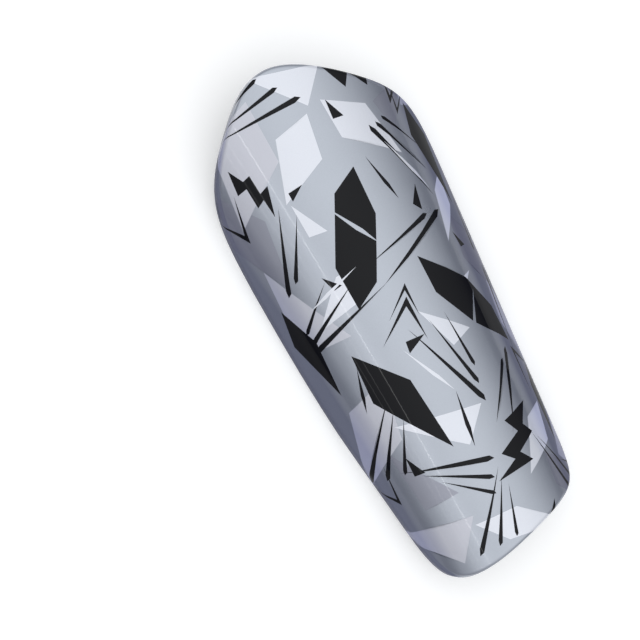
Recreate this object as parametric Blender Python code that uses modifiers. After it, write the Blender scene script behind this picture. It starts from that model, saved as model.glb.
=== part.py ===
"""A slip-in soccer shin guard for one leg: a rigid curved shell with a short skirt, and a foam pad in it.

+X is across the shin, +Y up the leg and +Z out of the front. The guard lies on its long edges at Z = 0.
"""

import bmesh
import bpy
import numpy as np

MM = 0.001

# Overall sizes. The flat width is measured along the bend, before it is rolled round the shin.
LENGTH = 200 * MM
FLAT_WIDTH = 107 * MM

# The bend round the shin at the top and bottom ends, and how far the crest falls from its middle to them.
BEND_RADIUS_TOP = 59 * MM
BEND_RADIUS_BOTTOM = 37 * MM
CREST_BOW = 1.0 * MM

# The shell: its wall, its rounded edge, and its skirt, cut straight where the guard would stand on it.
WALL = 1.6 * MM
EDGE_ROUND = 1.8 * MM
SKIRT = 5.0 * MM
SKIRT_CUT = 2.8 * MM

# The foam pad, and the clearance that it keeps from the shell.
FOAM = 4.0 * MM
FOAM_ROUND = 0.9 * MM
FIT_GAP = 0.3 * MM

# Control points of the flat outline, clockwise from the top, as shares of half its width and half its length.
# The bottom edge slants, so the guard fits one leg and its mirror image fits the other.
OUTLINE = (
    # across, along
    (-0.20, 1.08),
    (0.44, 0.83),
    (1.04, 0.64),
    (0.98, 0.20),
    (1.02, -0.32),
    (0.92, -0.71),
    (0.70, -0.90),
    (0.11, -0.93),
    (-0.71, -1.07),
    (-0.80, -0.70),
    (-1.01, -0.17),
    (-1.00, 0.26),
    (-1.00, 0.65),
    (-0.61, 0.86),
)
# The control points nearest the four corners, where the mesh's sides meet.
CORNERS = {"top right": 2, "bottom right": 6, "bottom left": 8, "top left": 12}

# How finely the meshes follow the shapes, and the edges of the foam that are rounded, in degrees.
COLUMNS = 18
ROWS = 28
ROUND_STEPS = 3
FOAM_ROUND_STEPS = 2
FOAM_EDGE_ANGLE = 40
SAMPLES_PER_SPAN = 40

# The step over which a slope is taken, and the steepest slope that still gets a mitre.
PROBE = 0.1 * MM
STEEPEST = 0.999

SHELL_COLOUR = (0.60, 0.62, 0.68, 1)
SHELL_ROUGHNESS = 0.2
FOAM_COLOUR = (0.012, 0.012, 0.013, 1)
FOAM_ROUGHNESS = 0.9


def remove_everything():
    for old in list(bpy.data.objects):
        bpy.data.objects.remove(old, do_unlink=True)


def spline_point(position):
    """A point of the closed cubic B-spline through the outline's control points, in shares."""
    span = int(np.floor(position))
    t = position - span
    weights = ((1 - t) ** 3, 3 * t**3 - 6 * t**2 + 4, -3 * t**3 + 3 * t**2 + 3 * t + 1, t**3)
    count = len(OUTLINE)
    controls = [OUTLINE[(span + step) % count] for step in (-1, 0, 1, 2)]
    return sum(weight * np.array(control) for weight, control in zip(weights, controls)) / 6


def outline_sizing():
    """The middle of the outline's shares, and the factors that bring it to the named width and length."""
    count = len(OUTLINE) * SAMPLES_PER_SPAN
    shares = np.array([spline_point(step / SAMPLES_PER_SPAN) for step in range(count)])
    low, high = shares.min(axis=0), shares.max(axis=0)
    return (low + high) / 2, np.array([FLAT_WIDTH, LENGTH]) / (high - low)


def outline_side(first, last, steps, sizing):
    """Points and inward directions along one side of the flat outline, evenly spaced by length."""
    middle, factors = sizing
    dense = np.linspace(first, last, (last - first) * SAMPLES_PER_SPAN + 1)
    points = np.array([(spline_point(position) - middle) * factors for position in dense])
    travelled = np.append(0, np.cumsum(np.linalg.norm(np.diff(points, axis=0), axis=1)))
    wanted = np.linspace(0, travelled[-1], steps + 1)
    along = np.gradient(points, axis=0)
    inward = np.column_stack((along[:, 1], -along[:, 0]))
    inward /= np.linalg.norm(inward, axis=1)[:, None]

    def at(values):
        return np.column_stack([np.interp(wanted, travelled, values[:, axis]) for axis in (0, 1)])

    return at(points), at(inward)


def outline_sides():
    """The four sides as (points, inward directions), each from low to high across or along."""
    sizing = outline_sizing()
    count = len(OUTLINE)
    right = outline_side(CORNERS["top right"], CORNERS["bottom right"], ROWS, sizing)
    bottom = outline_side(CORNERS["bottom right"], CORNERS["bottom left"], COLUMNS, sizing)
    left = outline_side(CORNERS["bottom left"], CORNERS["top left"], ROWS, sizing)
    top = outline_side(CORNERS["top left"], CORNERS["top right"] + count, COLUMNS, sizing)
    return {
        "right": tuple(values[::-1] for values in right),
        "bottom": tuple(values[::-1] for values in bottom),
        "left": left,
        "top": top,
    }


def curvature(along):
    """The bend at a place up the leg, even in its change from end to end."""
    share = along / LENGTH + 0.5
    return (1 - share) / BEND_RADIUS_BOTTOM + share / BEND_RADIUS_TOP


def bent(flat, depth=0.0):
    """A point of the flat blank on the bent guard, at a depth behind its front face. The crest is at 0."""
    across, along = flat
    bend = curvature(along)
    change = (1 / BEND_RADIUS_TOP - 1 / BEND_RADIUS_BOTTOM) / LENGTH
    turn = bend * across
    fall = CREST_BOW * (2 * along / LENGTH) ** 2
    place = np.array([np.sin(turn) / bend, along, (np.cos(turn) - 1) / bend - fall])
    over = np.array([np.cos(turn), 0, -np.sin(turn)])
    up = np.array([
        change * (turn * np.cos(turn) - np.sin(turn)) / bend**2,
        1,
        change * (1 - np.cos(turn) - turn * np.sin(turn)) / bend**2 - 8 * CREST_BOW * along / LENGTH**2,
    ])
    out = np.cross(over, up)
    return place - depth * out / np.linalg.norm(out)


def mitre_inset(flat, inward, depth):
    """How far in from the outline a face at this depth meets a wall as thick that hangs straight down."""
    step = bent(flat + inward * PROBE) - bent(flat)
    rise = min(step[2] / np.linalg.norm(step), STEEPEST)
    return depth * (1 - rise) / np.sqrt(1 - rise**2)


def edge_stations(sides):
    """The outline's stations by grid place, as {(column, row): (point, inward direction)}."""
    stations = {}
    for row in range(ROWS + 1):
        stations[0, row] = [values[row] for values in sides["left"]]
        stations[COLUMNS, row] = [values[row] for values in sides["right"]]
    for column in range(COLUMNS + 1):
        stations[column, 0] = [values[column] for values in sides["bottom"]]
        stations[column, ROWS] = [values[column] for values in sides["top"]]
    return stations


def blank_point(edge, column, row):
    """A flat point inside the outline, blended from its four sides."""
    u, v = column / COLUMNS, row / ROWS
    across = (1 - u) * edge[0, row] + u * edge[COLUMNS, row]
    along = (1 - v) * edge[column, 0] + v * edge[column, ROWS]
    corners = (
        (1 - u) * (1 - v) * edge[0, 0]
        + u * (1 - v) * edge[COLUMNS, 0]
        + (1 - u) * v * edge[0, ROWS]
        + u * v * edge[COLUMNS, ROWS]
    )
    return across + along - corners


def bent_sheet(stations, inset, depth, rise):
    """A bmesh grid in the shape of the outline, set in by inset(point, inward), bent and raised.

    Each vertex keeps its column and row, also in what is extruded from it later.
    """
    edge = {place: point + inward * inset(point, inward) for place, (point, inward) in stations.items()}
    sheet = bmesh.new()
    column_of = sheet.verts.layers.int.new("column")
    row_of = sheet.verts.layers.int.new("row")
    bmesh.ops.create_grid(sheet, x_segments=COLUMNS, y_segments=ROWS, size=1)
    for vertex in sheet.verts:
        column = round((vertex.co.x + 1) / 2 * COLUMNS)
        row = round((vertex.co.y + 1) / 2 * ROWS)
        vertex[column_of] = column
        vertex[row_of] = row
        vertex.co = bent(blank_point(edge, column, row), depth) + np.array([0, 0, rise])
    return sheet, column_of, row_of


def add_ring(sheet, place_of):
    """Extrudes the sheet's open edge to the places that place_of(vertex) gives."""
    border = [edge for edge in sheet.edges if edge.is_boundary]
    made = bmesh.ops.extrude_edge_only(sheet, edges=border)["geom"]
    for vertex in made:
        if isinstance(vertex, bmesh.types.BMVert):
            vertex.co = place_of(vertex)


def crest_height(stations):
    """The height of the crest's middle over the surface that the cut skirt stands on."""
    lowest = min(bent(point)[2] for point, _ in stations.values())
    return SKIRT - SKIRT_CUT - lowest


def make_object(name, sheet, colour, roughness):
    """The sheet as a smooth-shaded object with its own material."""
    bmesh.ops.recalc_face_normals(sheet, faces=sheet.faces)
    if sum(face.normal.z for face in sheet.faces) < 0:
        bmesh.ops.reverse_faces(sheet, faces=sheet.faces)
    mesh = bpy.data.meshes.new(name)
    sheet.to_mesh(mesh)
    sheet.free()
    mesh.shade_smooth()
    material = bpy.data.materials.new(name)
    material.use_nodes = True
    shader = material.node_tree.nodes["Principled BSDF"]
    shader.inputs["Base Color"].default_value = colour
    shader.inputs["Roughness"].default_value = roughness
    mesh.materials.append(material)
    return bpy.data.objects.new(name, mesh)


def thicken(thing, thickness):
    solidify = thing.modifiers.new("wall", "SOLIDIFY")
    solidify.thickness = thickness
    solidify.offset = -1
    solidify.use_even_offset = True
    solidify.use_quality_normals = True


def make_shell(stations, crest):
    """The front plate: a bent sheet whose edge rounds over into a skirt that hangs straight down."""

    def inset(point, inward):
        return EDGE_ROUND

    sheet, column_of, row_of = bent_sheet(stations, inset, 0, crest)
    lift = np.array([0, 0, crest])

    def corner_of(vertex):
        point, _ = stations[vertex[column_of], vertex[row_of]]
        return bent(point) + lift

    def rounded(share):
        def place_of(vertex):
            point, inward = stations[vertex[column_of], vertex[row_of]]
            start = bent(point + inward * EDGE_ROUND) + lift
            corner = corner_of(vertex)
            end = corner - np.array([0, 0, EDGE_ROUND])
            return (1 - share) ** 2 * start + 2 * share * (1 - share) * corner + share**2 * end

        return place_of

    def skirt_end(vertex):
        corner = corner_of(vertex)
        return np.array([corner[0], corner[1], max(corner[2] - SKIRT, 0)])

    for step in range(1, ROUND_STEPS + 1):
        add_ring(sheet, rounded(step / ROUND_STEPS))
    add_ring(sheet, skirt_end)
    shell = make_object("shell", sheet, SHELL_COLOUR, SHELL_ROUGHNESS)
    thicken(shell, WALL)
    return shell


def make_foam_backing(stations, crest):
    """The pad on the leg side, which follows the shell's inner face and fills the space inside its skirt."""
    depth = WALL + FIT_GAP

    def inset(point, inward):
        return mitre_inset(point, inward, depth)

    sheet, _, _ = bent_sheet(stations, inset, depth, crest)
    foam = make_object("foam_backing", sheet, FOAM_COLOUR, FOAM_ROUGHNESS)
    thicken(foam, FOAM)
    bevel = foam.modifiers.new("rounded edge", "BEVEL")
    bevel.width = FOAM_ROUND
    bevel.segments = FOAM_ROUND_STEPS
    bevel.limit_method = "ANGLE"
    bevel.angle_limit = np.radians(FOAM_EDGE_ANGLE)
    return foam


def main():
    remove_everything()
    collection = bpy.data.collections.new("shin_guard")
    bpy.context.scene.collection.children.link(collection)
    stations = edge_stations(outline_sides())
    crest = crest_height(stations)
    collection.objects.link(make_shell(stations, crest))
    collection.objects.link(make_foam_backing(stations, crest))


main()
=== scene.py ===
"""The looks of the soccer shin guard: a lacquered, printed shell over a foam pad, on a white floor.

The shapes repeat the named sizes of the part. The flat blank is given across and along the shin, then bent.
"""

import bpy
import numpy as np
from mathutils import Matrix, Quaternion, Vector
from mathutils.geometry import delaunay_2d_cdt


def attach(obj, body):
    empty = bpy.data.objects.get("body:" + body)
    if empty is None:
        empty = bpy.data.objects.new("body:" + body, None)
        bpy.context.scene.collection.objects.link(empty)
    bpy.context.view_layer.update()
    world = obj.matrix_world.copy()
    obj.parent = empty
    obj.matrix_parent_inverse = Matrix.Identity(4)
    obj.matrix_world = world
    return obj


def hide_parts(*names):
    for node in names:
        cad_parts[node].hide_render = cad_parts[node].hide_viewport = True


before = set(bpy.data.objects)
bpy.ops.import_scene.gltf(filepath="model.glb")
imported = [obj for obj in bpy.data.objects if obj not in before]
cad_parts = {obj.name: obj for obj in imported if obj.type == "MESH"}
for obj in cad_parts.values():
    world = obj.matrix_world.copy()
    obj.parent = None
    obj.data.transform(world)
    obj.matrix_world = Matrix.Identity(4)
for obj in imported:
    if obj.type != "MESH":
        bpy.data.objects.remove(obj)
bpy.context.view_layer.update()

MM = 0.001

# The part's own sizes
LENGTH = 200 * MM
FLAT_WIDTH = 107 * MM
BEND_RADIUS_TOP = 59 * MM
BEND_RADIUS_BOTTOM = 37 * MM
CREST_BOW = 1.0 * MM
WALL = 1.6 * MM
EDGE_ROUND = 1.8 * MM
SKIRT = 5.0 * MM
SKIRT_CUT = 2.8 * MM
FOAM = 4.0 * MM
FOAM_ROUND = 0.9 * MM
FIT_GAP = 0.3 * MM

# The outline's control points, clockwise from the top, as shares of half the flat width and half the length
OUTLINE = np.array([
    (-0.20, 1.08),
    (0.44, 0.83),
    (1.04, 0.64),
    (0.98, 0.20),
    (1.02, -0.32),
    (0.92, -0.71),
    (0.70, -0.90),
    (0.11, -0.93),
    (-0.71, -1.07),
    (-0.80, -0.70),
    (-1.01, -0.17),
    (-1.00, 0.26),
    (-1.00, 0.65),
    (-0.61, 0.86),
])

# The shell's finer forms, and how closely the meshes follow them
RIM_ROUND = 0.3 * MM
GRID_STEP = 2.3 * MM
FOAM_GRID_STEP = 3 * MM
EDGE_STATIONS = 300
ROUND_STEPS = 7
SKIRT_STEPS = 2
RIM_STEPS = 3
NUDGE = 0.02
SAMPLES_PER_SPAN = 40
MERGE = 1e-7
PROBE = 0.1 * MM
STEEPEST = 0.999

# The grid of points inside a face, as shares of its step: between its rows, and clear of the outline
ROW_SHARE = 0.87
CLEAR_SHARE = 0.45

# How wide the edge's rounding and its skirt are in the flat, where the print is laid out
ROUND_REACH = 2.9 * MM
SKIRT_REACH = 3.0 * MM

# The pressed line inside the edge of the foam
LINE_INSET = 9.0 * MM
LINE_WIDTH = 1.6 * MM
LINE_DEPTH = 0.3 * MM

# The camera: its turns in degrees, its distance, the guard's shift in the view and the picture's scale
CAMERA_TURNS = (3.849, 16.319, 27.129)
CAMERA_DISTANCE = 800 * MM
CAMERA_OFFSET = (29.627 * MM, 4.809 * MM)
AIM_HEIGHT = 16 * MM
PIXELS_PER_MM = 2.697
PICTURE_PIXELS = 640
SENSOR = 36

UP = np.array([0, 0, 1])


def spline(positions):
    """Points of the outline's closed cubic B-spline and their direction of travel, in shares."""
    span = np.floor(positions).astype(int)
    t = (positions - span)[:, None]
    weights = ((1 - t) ** 3, 3 * t**3 - 6 * t**2 + 4, -3 * t**3 + 3 * t**2 + 3 * t + 1, t**3)
    slopes = (-3 * (1 - t) ** 2, 9 * t**2 - 12 * t, -9 * t**2 + 6 * t + 3, 3 * t**2)
    controls = [OUTLINE[(span + step) % len(OUTLINE)] for step in (-1, 0, 1, 2)]
    points = sum(weight * control for weight, control in zip(weights, controls)) / 6
    travel = sum(slope * control for slope, control in zip(slopes, controls)) / 6
    return points, travel


def sizing():
    """The middle of the outline's shares, and the factors that bring it to the real width and length."""
    points, _ = spline(np.arange(len(OUTLINE) * SAMPLES_PER_SPAN) / SAMPLES_PER_SPAN)
    low, high = points.min(axis=0), points.max(axis=0)
    return (low + high) / 2, np.array([FLAT_WIDTH, LENGTH]) / (high - low)


MIDDLE, FACTORS = sizing()


def edge(positions):
    """Points of the flat outline and their inward directions, in metres."""
    points, travel = spline(positions)
    travel = travel * FACTORS
    inward = np.column_stack((travel[:, 1], -travel[:, 0]))
    return (points - MIDDLE) * FACTORS, inward / np.linalg.norm(inward, axis=1)[:, None]


def even_positions(count):
    """Places on the outline spaced evenly by length."""
    dense = np.linspace(0, len(OUTLINE), len(OUTLINE) * SAMPLES_PER_SPAN + 1)
    points, _ = edge(dense)
    travelled = np.append(0, np.cumsum(np.linalg.norm(np.diff(points, axis=0), axis=1)))
    return np.interp(np.arange(count) / count * travelled[-1], travelled, dense)


def bent(flat, depth=0.0):
    """Flat points bent to a depth behind the guard's front face, and the directions straight out of it."""
    across, along = flat[:, 0], flat[:, 1]
    share = along / LENGTH + 0.5
    bend = (1 - share) / BEND_RADIUS_BOTTOM + share / BEND_RADIUS_TOP
    change = (1 / BEND_RADIUS_TOP - 1 / BEND_RADIUS_BOTTOM) / LENGTH
    turn = bend * across
    fall = CREST_BOW * (2 * along / LENGTH) ** 2
    place = np.column_stack((np.sin(turn) / bend, along, (np.cos(turn) - 1) / bend - fall))
    over = np.column_stack((np.cos(turn), np.zeros_like(turn), -np.sin(turn)))
    up = np.column_stack((
        change * (turn * np.cos(turn) - np.sin(turn)) / bend**2,
        np.ones_like(turn),
        change * (1 - np.cos(turn) - turn * np.sin(turn)) / bend**2 - 8 * CREST_BOW * along / LENGTH**2,
    ))
    out = np.cross(over, up)
    out /= np.linalg.norm(out, axis=1)[:, None]
    depth = np.broadcast_to(depth, across.shape)[:, None]
    return place - depth * out, out


def mitre(points, inward, depth):
    """How far in from the outline a face at this depth meets a wall as thick that hangs straight down."""
    step = bent(points + inward * PROBE)[0] - bent(points)[0]
    rise = np.clip(step[:, 2] / np.linalg.norm(step, axis=1), None, STEEPEST)
    return depth * (1 - rise) / np.sqrt(1 - rise**2)


CREST = SKIRT - SKIRT_CUT - bent(edge(even_positions(EDGE_STATIONS))[0])[0][:, 2].min()
LIFT = UP * CREST


def inside(points, polygon):
    """Whether each flat point lies in the polygon."""
    found = np.zeros(len(points), dtype=bool)
    x, y = points[:, 0], points[:, 1]
    for (x1, y1), (x2, y2) in zip(polygon, np.roll(polygon, -1, axis=0)):
        if y1 == y2:
            continue
        crosses = (y1 > y) != (y2 > y)
        found ^= crosses & (x < x1 + (y - y1) * (x2 - x1) / (y2 - y1))
    return found


def along_edge(points, polygon, positions):
    """The outline place nearest to each point, on the closed polygon of these places, and its distance."""
    ends = np.roll(polygon, -1, axis=0)
    sides = ends - polygon
    reach = points[:, None, :] - polygon[None]
    share = np.clip((reach * sides).sum(axis=2) / (sides**2).sum(axis=1), 0, 1)
    gaps = np.linalg.norm(reach - share[..., None] * sides, axis=2)
    nearest = gaps.argmin(axis=1)
    row = np.arange(len(points))
    next_positions = np.append(positions[1:], len(OUTLINE))
    here = positions[nearest] + share[row, nearest] * (next_positions - positions)[nearest]
    return here % len(OUTLINE), gaps[row, nearest]


def triangulate(border, loops, step, filled):
    """Triangles inside the border that follow the loops, even inside filled, as (points, triangles)."""
    low, high = filled.min(axis=0), filled.max(axis=0)
    rows = np.arange(low[1], high[1], step * ROW_SHARE)
    seeds = []
    for number, height in enumerate(rows):
        for across in np.arange(low[0] + (number % 2) * step / 2, high[0], step):
            seeds.append((across, height))
    seeds = np.array(seeds)
    _, gaps = along_edge(seeds, filled, np.arange(len(filled)))
    seeds = seeds[inside(seeds, filled) & (gaps > step * CLEAR_SHARE)]
    points = [Vector(point) for point in border]
    edges = [(place, (place + 1) % len(border)) for place in range(len(border))]
    for loop in loops:
        first = len(points)
        points += [Vector(point) for point in loop]
        edges += [(first + place, first + (place + 1) % len(loop)) for place in range(len(loop))]
    points += [Vector(point) for point in seeds]
    made, _, faces, *_ = delaunay_2d_cdt(points, edges, [], 0, MERGE)
    made = np.array([tuple(point) for point in made])
    faces = np.array([face if wound(made[list(face)]) > 0 else face[::-1] for face in faces])
    faces = faces[inside(made[faces].mean(axis=1), border)]
    used, faces = np.unique(faces, return_inverse=True)
    return made[used], faces.reshape(-1, 3)


def wound(corners):
    """Twice the triangle's area, positive where it runs anticlockwise."""
    (x1, y1), (x2, y2), (x3, y3) = corners
    return (x2 - x1) * (y3 - y1) - (x3 - x1) * (y2 - y1)


def open_edges(faces):
    """The edges with one triangle, as {both ends: triangle}."""
    seen = {}
    for number, face in enumerate(faces):
        for ends in zip(face, np.roll(face, -1)):
            key = frozenset(int(end) for end in ends)
            seen[key] = None if key in seen else number
    return {key: number for key, number in seen.items() if number is not None}


def closed_body(name, points, faces, tones, front, back, profile, border, positions, inner_tone):
    """A closed body of two bent faces and a wall between them.

    front and back are (places, directions out) of the flat points. profile(positions) gives the wall's
    rings between them as a list of (places, tone or None), where None carries the face's own tone on.
    """
    border_edges = open_edges(faces)
    used = sorted({end for key in border_edges for end in key})
    here, _ = along_edge(points[used], border, positions)
    order = [used[place] for place in np.argsort(here)]
    here = np.sort(here)
    count = len(points)
    places = [front[0], back[0]]
    wall = [np.array(order)]
    ring_tones = []
    for ring, tone in profile(here):
        wall.append(np.arange(len(order)) + sum(len(group) for group in places))
        places.append(ring)
        ring_tones.append(tone)
    wall.append(np.array(order) + count)
    ring_tones.append(inner_tone)
    polygons = [tuple(int(corner) for corner in face) for face in faces]
    face_tones = list(tones)
    polygons += [tuple(int(corner) + count for corner in face[::-1]) for face in faces]
    face_tones += [inner_tone] * len(faces)
    for place in range(len(order)):
        after = (place + 1) % len(order)
        own = border_edges.get(frozenset((order[place], order[after])))
        own_tone = tones[own] if own is not None else inner_tone
        for outer, inner, tone in zip(wall, wall[1:], ring_tones):
            polygons.append((int(outer[place]), int(outer[after]), int(inner[after]), int(inner[place])))
            face_tones.append(own_tone if tone is None else tone)
    mesh = bpy.data.meshes.new(name)
    mesh.from_pydata([tuple(place) for place in np.vstack(places)], [], polygons)
    mesh.polygons.foreach_set("material_index", np.array(face_tones, dtype=np.int32))
    mesh.shade_smooth()
    flat_map = mesh.uv_layers.new(name="flat")
    flats = np.vstack([points, points] + [points[order]] * (len(wall) - 2))
    corners = np.empty(len(mesh.loops), dtype=np.int32)
    mesh.loops.foreach_get("vertex_index", corners)
    flat_map.data.foreach_set("uv", (flats[corners] / LENGTH + 0.5).ravel())
    mesh.update()
    normals = np.array([tuple(normal.vector) for normal in mesh.corner_normals])
    normals[corners < count] = front[1][corners[corners < count]]
    deep = (corners >= count) & (corners < 2 * count)
    normals[deep] = -back[1][corners[deep] - count]
    mesh.normals_split_custom_set([tuple(normal) for normal in normals])
    mesh.validate()
    thing = bpy.data.objects.new(name, mesh)
    bpy.context.scene.collection.objects.link(thing)
    return thing


# Print motifs, in millimetres across and along the flat blank. Each gives a list of shapes.


def placed(shapes, across, along, degrees):
    """The shapes turned anticlockwise from up the leg and moved to their place, in metres."""
    turn = np.radians(degrees)
    rotation = np.array([(np.cos(turn), -np.sin(turn)), (np.sin(turn), np.cos(turn))])
    return [(np.array(corners) @ rotation.T + (across, along)) * MM for corners in shapes]


def kite(length, width, belly=0.35):
    """A four-cornered facet whose widest place is belly of its length below its top."""
    high, wide = length / 2, width / 2
    return [[(0, high), (-wide, high - belly * length), (0, -high), (wide, high - belly * length * 1.25)]]


def shard(length, width, lean=0.3):
    """A three-cornered facet."""
    high, wide = length / 2, width / 2
    return [[(lean * width, high), (-wide, -high * 0.55), (wide, -high)]]


def blade(length, width, cut=0.2):
    """A long six-cornered plate with slanted ends."""
    high, wide = length / 2, width / 2
    return [[
        (-wide * 0.2, high),
        (-wide, high - cut * length),
        (-wide * 0.8, -high + cut * length * 1.4),
        (wide * 0.3, -high),
        (wide, -high + cut * length),
        (wide * 0.85, high - cut * length * 1.6),
    ]]


def slats(count, length, width, gap, lean=0.45, fan=0.0):
    """Tapered strokes side by side with slanted ends, each shorter than the last and turned on by fan."""
    strokes = []
    for number in range(count):
        size = length * 0.76**number
        wide = width * 0.84**number / 2
        turn = np.radians(fan * number)
        rotation = np.array([(np.cos(turn), -np.sin(turn)), (np.sin(turn), np.cos(turn))])
        stroke = np.array([
            (0, size * 0.62),
            (-wide, -size * 0.30),
            (-wide * 0.2, -size * 0.38),
            (wide, -size * 0.33),
        ])
        strokes.append(stroke @ rotation.T + (number * gap, number * gap * lean))
    return strokes


def splinter(length, width):
    """A stroke with a point at both ends, widest below its middle."""
    high, wide = length / 2, width / 2
    return [[(0, high), (-wide, -high * 0.2), (0, -high), (wide, -high * 0.35)]]


def chevron(arm, width, spread):
    """Two tapered arms that meet in a point."""
    side, up = np.sin(np.radians(spread)) * arm, np.cos(np.radians(spread)) * arm
    return [[(0, -width), (side, up), (0, width), (-side, up * 0.8)]]


def zigzag(length, swing, width):
    """A jagged stroke of three bends, thick in its middle and pointed at both ends."""
    high = length / 2
    return [[
        (swing * 0.2, high),
        (-swing * 0.75, high * 0.30),
        (swing * 0.10, high * 0.22),
        (-swing * 0.45, -high * 0.42),
        (swing * 0.30, -high * 0.40),
        (-swing * 0.15, -high),
        (swing * 0.75 + width, -high * 0.22),
        (-swing * 0.05 + width, -high * 0.20),
        (swing * 0.45 + width, high * 0.40),
        (-swing * 0.20 + width, high * 0.44),
    ]]


SILVER, PALE, SOFT, GREY, BLACK, RAW = range(6)


def print_layers():
    """The generic facet print, from the bottom layer to the top one, as (tone, corners)."""
    layers = []

    def add(tone, shapes, across, along, degrees):
        layers.extend((tone, corners) for corners in placed(shapes, across, along, degrees))

    # Broad facets
    add(GREY, kite(46, 20), -44, 46, 14)
    add(GREY, kite(46, 18), 43, 2, 20)
    add(GREY, shard(30, 13), -30, -60, 32)
    add(GREY, kite(30, 15), 30, -86, 26)
    add(GREY, shard(26, 13), 34, 72, -50)
    add(SOFT, kite(48, 26), -33, 72, -30)
    add(SOFT, shard(36, 18), 46, 78, 12)
    add(SOFT, shard(40, 20), -43, 14, 24)
    add(SOFT, kite(44, 17), 47, -28, 12)
    add(SOFT, kite(46, 22), -37, -38, -38)
    add(SOFT, shard(34, 17), -34, -84, 78)
    add(SOFT, shard(34, 14), 42, -70, -16)
    add(PALE, kite(38, 17), 15, 66, 36)
    add(PALE, kite(34, 18), -14, 66, -40)
    add(PALE, shard(28, 15), -6, 91, 70)
    add(PALE, kite(30, 10), 36, 26, -34)
    add(PALE, kite(32, 12), -22, 14, -60)
    add(PALE, shard(22, 9), 6, -13, 44)
    add(PALE, shard(34, 14), -12, -46, 74)
    add(PALE, kite(32, 13), 24, -66, -50)
    add(PALE, kite(36, 12), 0, -90, 66)
    add(PALE, shard(16, 6), -22, 44, 24)
    add(PALE, shard(15, 6), 24, -2, -60)

    # Large dark plates, some of them split by a thin cut
    add(BLACK, blade(52, 17), -8, 31, -30)
    add(SILVER, splinter(24, 1.7), -7, 36, 30)
    add(BLACK, blade(52, 16, 0.26), 23, -8, 26)
    add(SILVER, splinter(22, 1.6), 22, -15, -36)
    add(BLACK, kite(50, 16), -20, -30, 22)
    add(BLACK, kite(42, 12, 0.28), 43, 46, 4)
    add(BLACK, kite(38, 10), -44, 0, 10)
    add(BLACK, zigzag(34, 8, 4.2), 12, -62, -48)
    add(BLACK, kite(34, 9), 41, -56, -16)
    add(BLACK, zigzag(28, 7, 3.2), 22, 84, 62)
    add(BLACK, zigzag(24, 5, 2.8), -35, 62, 24)

    # Strokes
    add(BLACK, slats(3, 36, 2.1, 5.4, fan=9), -16, 85, 92)
    add(BLACK, slats(2, 34, 2.1, 4.6, fan=-7), -36, 34, -22)
    add(BLACK, slats(3, 38, 2.1, -4.8, fan=8), 23, 52, 204)
    add(BLACK, slats(2, 42, 2.4, 5.6, fan=-10), 16, 20, 112)
    add(BLACK, slats(3, 38, 2.2, -5.2, fan=12), -28, 4, -72)
    add(BLACK, slats(3, 40, 2.2, 5.0, fan=-9), 3, -30, 22)
    add(BLACK, slats(2, 36, 2.1, -4.6, fan=10), 43, -14, 164)
    add(BLACK, slats(3, 38, 2.4, 5.6, fan=8), -40, -44, -42)
    add(BLACK, slats(3, 36, 2.1, -5.0, fan=-11), -12, -60, 74)
    add(BLACK, slats(2, 32, 1.9, 4.4, fan=12), 27, -82, 16)
    add(BLACK, slats(2, 30, 1.8, 4.2, fan=-8), 47, 16, -10)
    add(BLACK, slats(3, 34, 1.9, 4.6, fan=10), -12, -84, -38)
    add(BLACK, slats(2, 34, 1.9, 4.6, fan=-10), 24, -42, 148)

    # Bent strokes
    add(BLACK, chevron(18, 1.7, 22), 34, 70, -36)
    add(BLACK, chevron(14, 1.3, 20), 35, 65, -36)
    add(BLACK, chevron(19, 1.8, 26), -2, 2, 152)
    add(BLACK, chevron(14, 1.3, 24), 0, 7, 152)
    add(BLACK, chevron(17, 1.8, 24), -45, 48, 12)
    add(BLACK, chevron(18, 1.7, 24), 36, -34, 200)
    add(BLACK, chevron(14, 1.4, 26), 43, -84, 34)
    add(BLACK, chevron(15, 1.4, 24), -40, -64, 20)

    # Chips
    add(BLACK, shard(9, 4), 6, 76, 20)
    add(BLACK, shard(7, 3), -20, 56, -60)
    add(BLACK, shard(10, 4), 22, 34, -20)
    add(BLACK, shard(8, 3), -24, 20, 40)
    add(BLACK, shard(9, 4), -6, -12, -70)
    add(BLACK, shard(8, 3), 34, 12, 30)
    add(BLACK, shard(9, 4), -28, -54, 24)
    add(BLACK, shard(8, 3), 14, -92, -30)
    add(BLACK, splinter(20, 1.6), 12, 46, 14)
    add(BLACK, splinter(18, 1.5), -32, -20, -16)
    add(BLACK, splinter(22, 1.7), -2, -46, -8)
    add(PALE, splinter(26, 1.5), 26, 46, 26)
    add(PALE, splinter(24, 1.4), -24, 18, -72)
    add(PALE, splinter(24, 1.4), -6, -24, 26)
    return layers


# Materials

# Painted shade on the two flanks, in place of the darker surroundings they mirror: where it is full and
# where it begins, as shares of the way from facing left to facing right
PAINTED_SHADE_PLACES = (0.075, 0.148, 0.74, 0.85)
# The painted shade's tint on the flanks, and how much of the coat is kept there
PAINTED_SHADE_TINT = (0.93, 0.96, 1.24)
COAT_ON_FLANKS = 0.4

# The lacquer's flakes and clouds and the waves in its coat, the coat's roughness and the metal's edge colour
FLAKE_SIZE = 0.35 * MM
FLAKE_HEIGHT = 0.004 * MM
CLOUD_SIZE = 16 * MM
PEEL_SIZE = 2.6 * MM
PEEL_HEIGHT = 0.006 * MM
COAT_ROUGHNESS = 0.035
GRAZING_TINT = (0.35, 0.35, 0.42, 1)


def new_material(name, **sockets):
    """A material with one principled shader whose sockets are set by name, and its node tree."""
    material = bpy.data.materials.new(name)
    material.use_nodes = True
    tree = material.node_tree
    shader = tree.nodes["Principled BSDF"]
    for socket, value in sockets.items():
        shader.inputs[socket.replace("_", " ")].default_value = value
    return material, tree, shader


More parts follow.
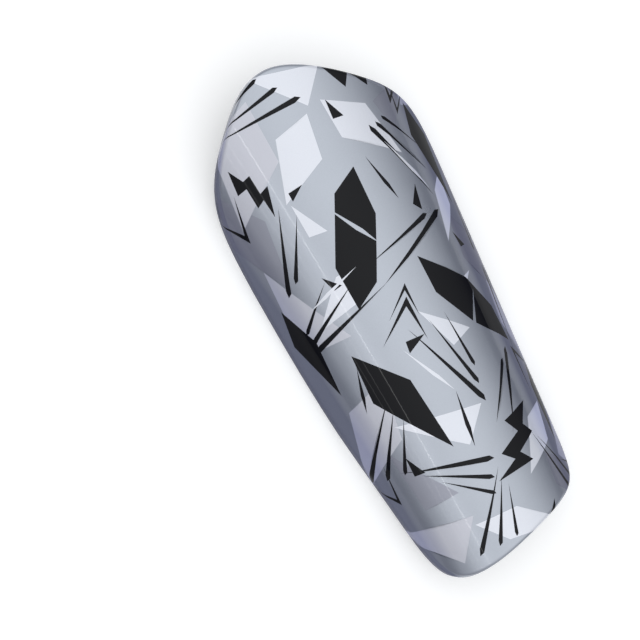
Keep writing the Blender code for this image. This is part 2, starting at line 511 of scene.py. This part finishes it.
def add_node(tree, kind, **settings):
    """A node of this kind. Its settings are inputs where it has such an input, and properties otherwise."""
    node = tree.nodes.new(kind)
    for name, value in settings.items():
        if name.replace("_", " ") in node.inputs:
            node.inputs[name.replace("_", " ")].default_value = value
        else:
            setattr(node, name, value)
    return node


def noise(tree, coordinates, size, detail=2.0, roughness=0.5):
    """Noise whose features are about this size, in metres."""
    node = add_node(tree, "ShaderNodeTexNoise", Scale=1 / size, Detail=detail, Roughness=roughness)
    tree.links.new(coordinates, node.inputs["Vector"])
    return node.outputs["Fac"]


def ramp(tree, value, *stops):
    """A colour ramp through the (place, colour) stops."""
    node = tree.nodes.new("ShaderNodeValToRGB")
    elements = node.color_ramp.elements
    for number, (place, colour) in enumerate(stops):
        element = elements[number] if number < len(elements) else elements.new(place)
        element.position = place
        element.color = (*colour, 1)
    tree.links.new(value, node.inputs["Fac"])
    return node.outputs["Color"]


def spread(tree, value, low, high):
    """The 0 to 1 value brought between low and high."""
    node = add_node(tree, "ShaderNodeMapRange", To_Min=low, To_Max=high)
    tree.links.new(value, node.inputs["Value"])
    return node.outputs["Result"]


def bump(tree, height, distance, strength=1.0, below=None):
    """A bump of this height in metres."""
    node = add_node(tree, "ShaderNodeBump", Distance=distance, Strength=strength)
    tree.links.new(height, node.inputs["Height"])
    if below is not None:
        tree.links.new(below, node.inputs["Normal"])
    return node.outputs["Normal"]


def times(colour, share):
    """The colour with each channel times the share."""
    return tuple(channel * share for channel in colour)


def painted_flank_shade(tree, normal, lowest):
    """Painted shade on the flanks: the share of its colour that the lacquer keeps, all of it on the crest
    and lowest on the two flanks.
    """
    split = tree.nodes.new("ShaderNodeSeparateXYZ")
    tree.links.new(normal, split.inputs[0])
    turn = add_node(tree, "ShaderNodeMapRange", From_Min=-1.0)
    tree.links.new(split.outputs["X"], turn.inputs["Value"])
    dark, full = times(PAINTED_SHADE_TINT, lowest), (1, 1, 1)
    return ramp(tree, turn.outputs["Result"], *zip(PAINTED_SHADE_PLACES, (dark, full, full, dark)))


def lacquer(name, colour, metallic, roughness, flake, shade, coat=1.43):
    """Print or paint under a clear coat: a fine flake in the colour, a faint orange peel in the coat, and
    painted shade towards both flanks.
    """
    material, tree, shader = new_material(
        name, Metallic=metallic, Specular_IOR_Level=0.0, Specular_Tint=GRAZING_TINT,
        Coat_Roughness=COAT_ROUGHNESS, Coat_IOR=coat,
    )
    source = tree.nodes.new("ShaderNodeTexCoord")
    place, normal = source.outputs["Object"], source.outputs["Normal"]
    flakes = noise(tree, place, FLAKE_SIZE, detail=1.0)
    clouds = noise(tree, place, CLOUD_SIZE, detail=3.0)
    mixed = add_node(tree, "ShaderNodeMath", operation="MULTIPLY_ADD")
    mixed.inputs[1].default_value = 0.6
    tree.links.new(flakes, mixed.inputs[0])
    tree.links.new(spread(tree, clouds, 0.0, 0.4), mixed.inputs[2])
    colours = ramp(
        tree, mixed.outputs[0],
        (0.25, times(colour, 1 - flake)), (0.5, colour), (0.75, times(colour, 1 + flake)),
    )
    # Painted shade: the colour darkens and the coat thins towards both flanks
    painted_shade_colour = add_node(tree, "ShaderNodeVectorMath", operation="MULTIPLY")
    tree.links.new(colours, painted_shade_colour.inputs[0])
    tree.links.new(painted_flank_shade(tree, normal, shade), painted_shade_colour.inputs[1])
    tree.links.new(painted_flank_shade(tree, normal, COAT_ON_FLANKS), shader.inputs["Coat Weight"])
    tree.links.new(painted_shade_colour.outputs["Vector"], shader.inputs["Base Color"])
    tree.links.new(spread(tree, clouds, roughness * 0.88, roughness * 1.12), shader.inputs["Roughness"])
    peel = bump(tree, noise(tree, place, PEEL_SIZE, detail=1.0), PEEL_HEIGHT)
    grain = bump(tree, flakes, FLAKE_HEIGHT, below=peel)
    tree.links.new(grain, shader.inputs["Normal"])
    tree.links.new(peel, shader.inputs["Coat Normal"])
    return material


def raw_plastic():
    """The shell's bare plastic: its cut rim and its inner face."""
    material, tree, shader = new_material(
        "raw_plastic", Metallic=0.0, IOR=1.5,
        Subsurface_Weight=0.12, Subsurface_Radius=(1.2 * MM, 1.2 * MM, 1.3 * MM), Subsurface_Scale=1.0,
    )
    place = tree.nodes.new("ShaderNodeTexCoord").outputs["Object"]
    cloud = noise(tree, place, 5 * MM, detail=3.0)
    tint = ramp(tree, cloud, (0.3, (0.60, 0.61, 0.66)), (0.7, (0.70, 0.71, 0.75)))
    tree.links.new(tint, shader.inputs["Base Color"])
    tree.links.new(spread(tree, cloud, 0.28, 0.42), shader.inputs["Roughness"])
    scrape = bump(tree, noise(tree, place, 0.8 * MM, detail=3.0), 0.02 * MM)
    tree.links.new(scrape, shader.inputs["Normal"])
    return material


def foam_skin():
    """Matte black foam with fine cells and a faint mottle."""
    material, tree, shader = new_material(
        "foam_black", Metallic=0.0, IOR=1.45, Specular_IOR_Level=0.32, Sheen_Weight=0.12, Sheen_Roughness=0.6
    )
    place = tree.nodes.new("ShaderNodeTexCoord").outputs["Object"]
    mottle = noise(tree, place, 9 * MM, detail=4.0, roughness=0.6)
    cells = add_node(tree, "ShaderNodeTexVoronoi", Scale=1 / (0.55 * MM), Randomness=1.0)
    tree.links.new(place, cells.inputs["Vector"])
    fine = noise(tree, place, 0.4 * MM, detail=3.0, roughness=0.7)
    tint = ramp(tree, mottle, (0.3, (0.0085, 0.0085, 0.0092)), (0.7, (0.0140, 0.0138, 0.0146)))
    tree.links.new(tint, shader.inputs["Base Color"])
    tree.links.new(spread(tree, mottle, 0.62, 0.78), shader.inputs["Roughness"])
    pores = bump(tree, cells.outputs["Distance"], 0.05 * MM, strength=0.5)
    skin = bump(tree, fine, 0.03 * MM, strength=0.6, below=pores)
    tree.links.new(skin, shader.inputs["Normal"])
    return material


# The shell


def level_inward(positions):
    """The level directions straight in from the shell's edge."""
    travel = bent(edge(positions + NUDGE)[0])[0] - bent(edge(positions - NUDGE)[0])[0]
    inner = np.column_stack((travel[:, 1], -travel[:, 0], np.zeros(len(travel))))
    return inner / np.linalg.norm(inner, axis=1)[:, None]


def foot_of(positions):
    """The lower end of the skirt's outer face."""
    foot = bent(edge(positions)[0])[0] + LIFT
    foot[:, 2] = np.maximum(foot[:, 2] - SKIRT, 0)
    return foot


def outer_band(positions, reach):
    """Places on the rounding and the skirt, reach out from the end of the front face in the flat."""
    points, inward = edge(positions)
    corner = bent(points)[0] + LIFT
    start = bent(points + inward * EDGE_ROUND)[0] + LIFT
    end = corner - UP * EDGE_ROUND
    share = np.clip(reach / ROUND_REACH, 0, 1)[:, None]
    rounded = (1 - share) ** 2 * start + 2 * share * (1 - share) * corner + share**2 * end
    lower = np.clip((reach - ROUND_REACH) / SKIRT_REACH, 0, 1)[:, None]
    return rounded + lower * (foot_of(positions) + UP * RIM_ROUND - end)


def inner_band(positions, reach):
    """Places on the inside of the skirt, reach out from the end of the inner face in the flat."""
    points, inward = edge(positions)
    start = bent(points + inward * EDGE_ROUND, WALL)[0] + LIFT
    wall = level_inward(positions) * WALL
    bottom = foot_of(positions) + wall + UP * RIM_ROUND
    meet = bent(points)[0] + LIFT + wall - UP * mitre(points, inward, WALL)[:, None]
    meet[:, 2] = np.maximum(meet[:, 2], bottom[:, 2] + RIM_ROUND / 3)
    share = np.clip(reach / ROUND_REACH, 0, 1)[:, None]
    lower = np.clip((reach - ROUND_REACH) / SKIRT_REACH, 0, 1)[:, None]
    return start + share * (meet - start) + lower * (bottom - meet)


def shell_face(flat, positions, reach, depth, band):
    """One face of the shell, with its edge band where reach is above 0, as (places, directions out)."""
    places, out = bent(flat, depth)
    places = places + LIFT
    edge_part = reach > 0
    here, far = positions[edge_part], reach[edge_part]
    places[edge_part] = band(here, far)
    widest = ROUND_REACH + SKIRT_REACH
    small = ROUND_REACH / ROUND_STEPS / 3
    round_edge = band(here + NUDGE, far) - band(here - NUDGE, far)
    over_edge = band(here, np.minimum(far + small, widest)) - band(here, np.maximum(far - small, 0))
    sideways = np.cross(round_edge, over_edge)
    out[edge_part] = sideways / np.linalg.norm(sideways, axis=1)[:, None]
    return places, out


def shell_rim(positions):
    """The cut rim under the skirt: a small rounding, the flat of the rim and a small rounding."""
    foot, inner = foot_of(positions), level_inward(positions)
    rings = []
    for quarter in np.arange(1, RIM_STEPS + 1) / RIM_STEPS:
        turn = quarter * np.pi / 2
        place = foot + inner * RIM_ROUND * (1 - np.cos(turn)) + UP * RIM_ROUND * (1 - np.sin(turn))
        rings.append((place, None))
    for quarter in np.arange(RIM_STEPS) / RIM_STEPS:
        turn = quarter * np.pi / 2
        width = WALL - RIM_ROUND * (1 - np.sin(turn))
        place = foot + inner * width + UP * RIM_ROUND * (1 - np.cos(turn))
        rings.append((place, RAW))
    return rings


def make_shell():
    """The shell with its print, which is in the mesh as faces of other materials."""
    positions = even_positions(EDGE_STATIONS)
    points, inward = edge(positions)
    face_edge = points + inward * EDGE_ROUND
    reaches = [ROUND_REACH * step / ROUND_STEPS for step in range(ROUND_STEPS + 1)]
    reaches += [ROUND_REACH + SKIRT_REACH * step / SKIRT_STEPS for step in range(1, SKIRT_STEPS + 1)]
    rings = [face_edge - inward * reach for reach in reaches]
    layers = print_layers()
    loops = rings[:-1] + [corners for _, corners in layers]
    flat, faces = triangulate(rings[-1], loops, GRID_STEP, face_edge)
    middles = flat[faces].mean(axis=1)
    tones = np.full(len(faces), SILVER)
    for tone, corners in layers:
        tones[inside(middles, corners)] = tone
    here, gaps = along_edge(flat, face_edge, positions)
    reach = np.where(inside(flat, face_edge) | (gaps < MERGE * 10), 0, gaps)
    shell = closed_body(
        "printed_shell", flat, faces, tones,
        shell_face(flat, here, reach, 0, outer_band), shell_face(flat, here, reach, WALL, inner_band),
        shell_rim, rings[-1], positions, RAW,
    )
    for material in (
        # The last number of each is the painted shade's lowest share of the colour on the flanks
        lacquer("lacquer_silver", (0.42, 0.442, 0.480), 0.95, 0.29, 0.05, 0.28),
        lacquer("print_pale", (0.76, 0.77, 0.805), 0.45, 0.38, 0.03, 0.6),
        lacquer("print_soft", (0.58, 0.58, 0.620), 0.45, 0.38, 0.02, 0.5),
        lacquer("print_grey", (0.33, 0.335, 0.38), 0.75, 0.36, 0.03, 0.35),
        lacquer("print_black", (0.004, 0.004, 0.005), 0.0, 0.30, 0.10, 1.0, coat=1.28),
        raw_plastic(),
    ):
        shell.data.materials.append(material)
    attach(shell, "root")
    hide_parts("shell")
    return shell


# The foam pad


def foam_edge(positions):
    """Points of the foam's flat outline and their inward directions."""
    points, inward = edge(positions)
    return points + inward * mitre(points, inward, WALL + FIT_GAP)[:, None], inward


def make_foam():
    """The foam pad, with a rounded edge and the pressed line on the leg side."""
    positions = even_positions(EDGE_STATIONS)
    border, inward = foam_edge(positions)
    rings = [FOAM_ROUND * share for share in (0.15, 0.4, 0.7, 1.0)]
    rings += [LINE_INSET + LINE_WIDTH * share for share in (-0.5, -0.25, 0, 0.25, 0.5)]
    loops = [border + inward * inset for inset in rings]
    flat, faces = triangulate(border, loops, FOAM_GRID_STEP, border)
    _, gaps = along_edge(flat, border, positions)
    near = np.clip(gaps / FOAM_ROUND, 0, 1)
    rounding = FOAM_ROUND * (1 - np.sqrt(1 - (1 - near) ** 2))
    pressed = np.clip(1 - np.abs(gaps - LINE_INSET) / (LINE_WIDTH / 2), 0, 1)
    pressed = LINE_DEPTH * (3 * pressed**2 - 2 * pressed**3)
    top = WALL + FIT_GAP
    front = bent(flat, top + rounding * 0.5)
    back = bent(flat, top + FOAM - rounding - pressed)

    def profile(here):
        points, _ = foam_edge(here)
        return [
            (bent(points, top + FOAM_ROUND * 0.5 + (FOAM - FOAM_ROUND * 1.5) * share)[0] + LIFT, 0)
            for share in (0.1, 0.5, 0.9)
        ]

    foam = closed_body(
        "foam_pad", flat, faces, np.zeros(len(faces), dtype=int),
        (front[0] + LIFT, front[1]), (back[0] + LIFT, back[1]),
        profile, border, positions, 0,
    )
    foam.data.materials.append(foam_skin())
    foam.data.attributes.remove(foam.data.attributes["custom_normal"])
    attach(foam, "root")
    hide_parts("foam_backing")
    return foam


# The stage, the camera and the light

# The floor: half its side, and where its painted pool of light, a glow of its own, begins to fade, where
# that ends and how bright it is
FLOOR_REACH = 3.0
PAINTED_POOL_START = 0.13
PAINTED_POOL_END = 0.45
PAINTED_POOL_GLOW = 0.26

# The strip lights: their size, distance and place round the guard, and each one's height and radiance
STRIP = (1.5, 0.015)
STRIP_DISTANCE = 1.2
STRIP_AZIMUTH = 180
STRIP_TWIST = 8
STRIP_LIGHTS = (("edge", 48, 4.0), ("band_high", 37, 1.6), ("band_low", 31, 1.3))

# The sky: its colours at the horizon and overhead, and its tilt in degrees
HORIZON = (0.14, 0.15, 0.205)
OVERHEAD = (1.24, 1.275, 1.325)
SKY_TILT = 1


def make_floor():
    """A white floor with a painted pool of light round the guard: the floor itself glows, most near the
    guard.
    """
    mesh = bpy.data.meshes.new("floor")
    corners = [(x * FLOOR_REACH, y * FLOOR_REACH, 0) for x, y in ((-1, -1), (1, -1), (1, 1), (-1, 1))]
    mesh.from_pydata(corners, [], [(0, 1, 2, 3)])
    floor = bpy.data.objects.new("floor", mesh)
    material, tree, shader = new_material(
        "floor_white", Metallic=0.0, Roughness=0.9, Specular_IOR_Level=0.1, Emission_Color=(1, 1, 1, 1)
    )
    place = tree.nodes.new("ShaderNodeTexCoord").outputs["Object"]
    tint = ramp(tree, noise(tree, place, 0.2), (0.3, (0.91, 0.90, 0.87)), (0.7, (0.94, 0.93, 0.90)))
    tree.links.new(tint, shader.inputs["Base Color"])
    far = add_node(tree, "ShaderNodeVectorMath", operation="LENGTH")
    tree.links.new(place, far.inputs[0])
    # Painted pool of light: the floor's own glow, fading with distance from the guard
    pool = add_node(
        tree, "ShaderNodeMapRange", interpolation_type="SMOOTHSTEP",
        From_Min=PAINTED_POOL_START, From_Max=PAINTED_POOL_END, To_Min=PAINTED_POOL_GLOW, To_Max=0.0,
    )
    tree.links.new(far.outputs["Value"], pool.inputs["Value"])
    tree.links.new(pool.outputs["Result"], shader.inputs["Emission Strength"])
    mesh.materials.append(material)
    bpy.context.scene.collection.objects.link(floor)


def make_camera():
    """The camera at the photograph's angle to the guard, with its axis through the middle of the picture."""
    tilt, yaw, roll = np.radians(CAMERA_TURNS)
    turn = Matrix.Rotation(roll, 3, "Z") @ Matrix.Rotation(tilt, 3, "X") @ Matrix.Rotation(yaw, 3, "Y")
    back = Vector((-CAMERA_OFFSET[0], -CAMERA_OFFSET[1], CAMERA_DISTANCE))
    data = bpy.data.cameras.new("camera")
    data.sensor_width = SENSOR
    data.lens = PIXELS_PER_MM / MM * CAMERA_DISTANCE * SENSOR / PICTURE_PIXELS
    data.clip_start = 0.01
    camera = bpy.data.objects.new("camera", data)
    camera.matrix_world = Matrix.Translation(turn.transposed() @ back + Vector((0, 0, AIM_HEIGHT))) @ (
        turn.transposed().to_4x4()
    )
    bpy.context.scene.collection.objects.link(camera)
    bpy.context.scene.camera = camera


def strip_light(name, height, radiance):
    """A long narrow light that faces the guard from this height, in degrees."""
    data = bpy.data.lights.new(name, "AREA")
    data.shape = "RECTANGLE"
    data.size, data.size_y = STRIP
    data.energy = radiance * 4 * STRIP[0] * STRIP[1]
    light = bpy.data.objects.new(name, data)
    turn, rise = np.radians(STRIP_AZIMUTH), np.radians(height)
    away = Vector((np.cos(turn) * np.cos(rise), np.sin(turn) * np.cos(rise), np.sin(rise)))
    light.location = away * STRIP_DISTANCE + Vector((0, 0, AIM_HEIGHT))
    light.rotation_mode = "QUATERNION"
    light.rotation_quaternion = Quaternion(away, np.radians(STRIP_TWIST)) @ away.to_track_quat("Z", "Y")
    bpy.context.scene.collection.objects.link(light)


def make_light():
    """A sky that brightens from the horizon up, and the strip lights."""
    world = bpy.data.worlds.new("studio")
    world.use_nodes = True
    tree = world.node_tree
    place = tree.nodes.new("ShaderNodeTexCoord").outputs["Generated"]
    split = tree.nodes.new("ShaderNodeSeparateXYZ")
    tilt = add_node(tree, "ShaderNodeVectorRotate", rotation_type="Y_AXIS", Angle=np.radians(SKY_TILT))
    tree.links.new(place, tilt.inputs["Vector"])
    tree.links.new(tilt.outputs["Vector"], split.inputs[0])
    sky = ramp(tree, split.outputs["Z"], (0.0, HORIZON), (1.0, OVERHEAD))
    background = tree.nodes["Background"]
    tree.links.new(sky, background.inputs["Color"])
    background.inputs["Strength"].default_value = 1.0
    bpy.context.scene.world = world
    for name, height, radiance in STRIP_LIGHTS:
        strip_light(name, height, radiance)


make_shell()
make_foam()
make_floor()
make_camera()
make_light()
bpy.context.scene.view_settings.view_transform = "Standard"
bpy.context.scene.view_settings.look = "None"
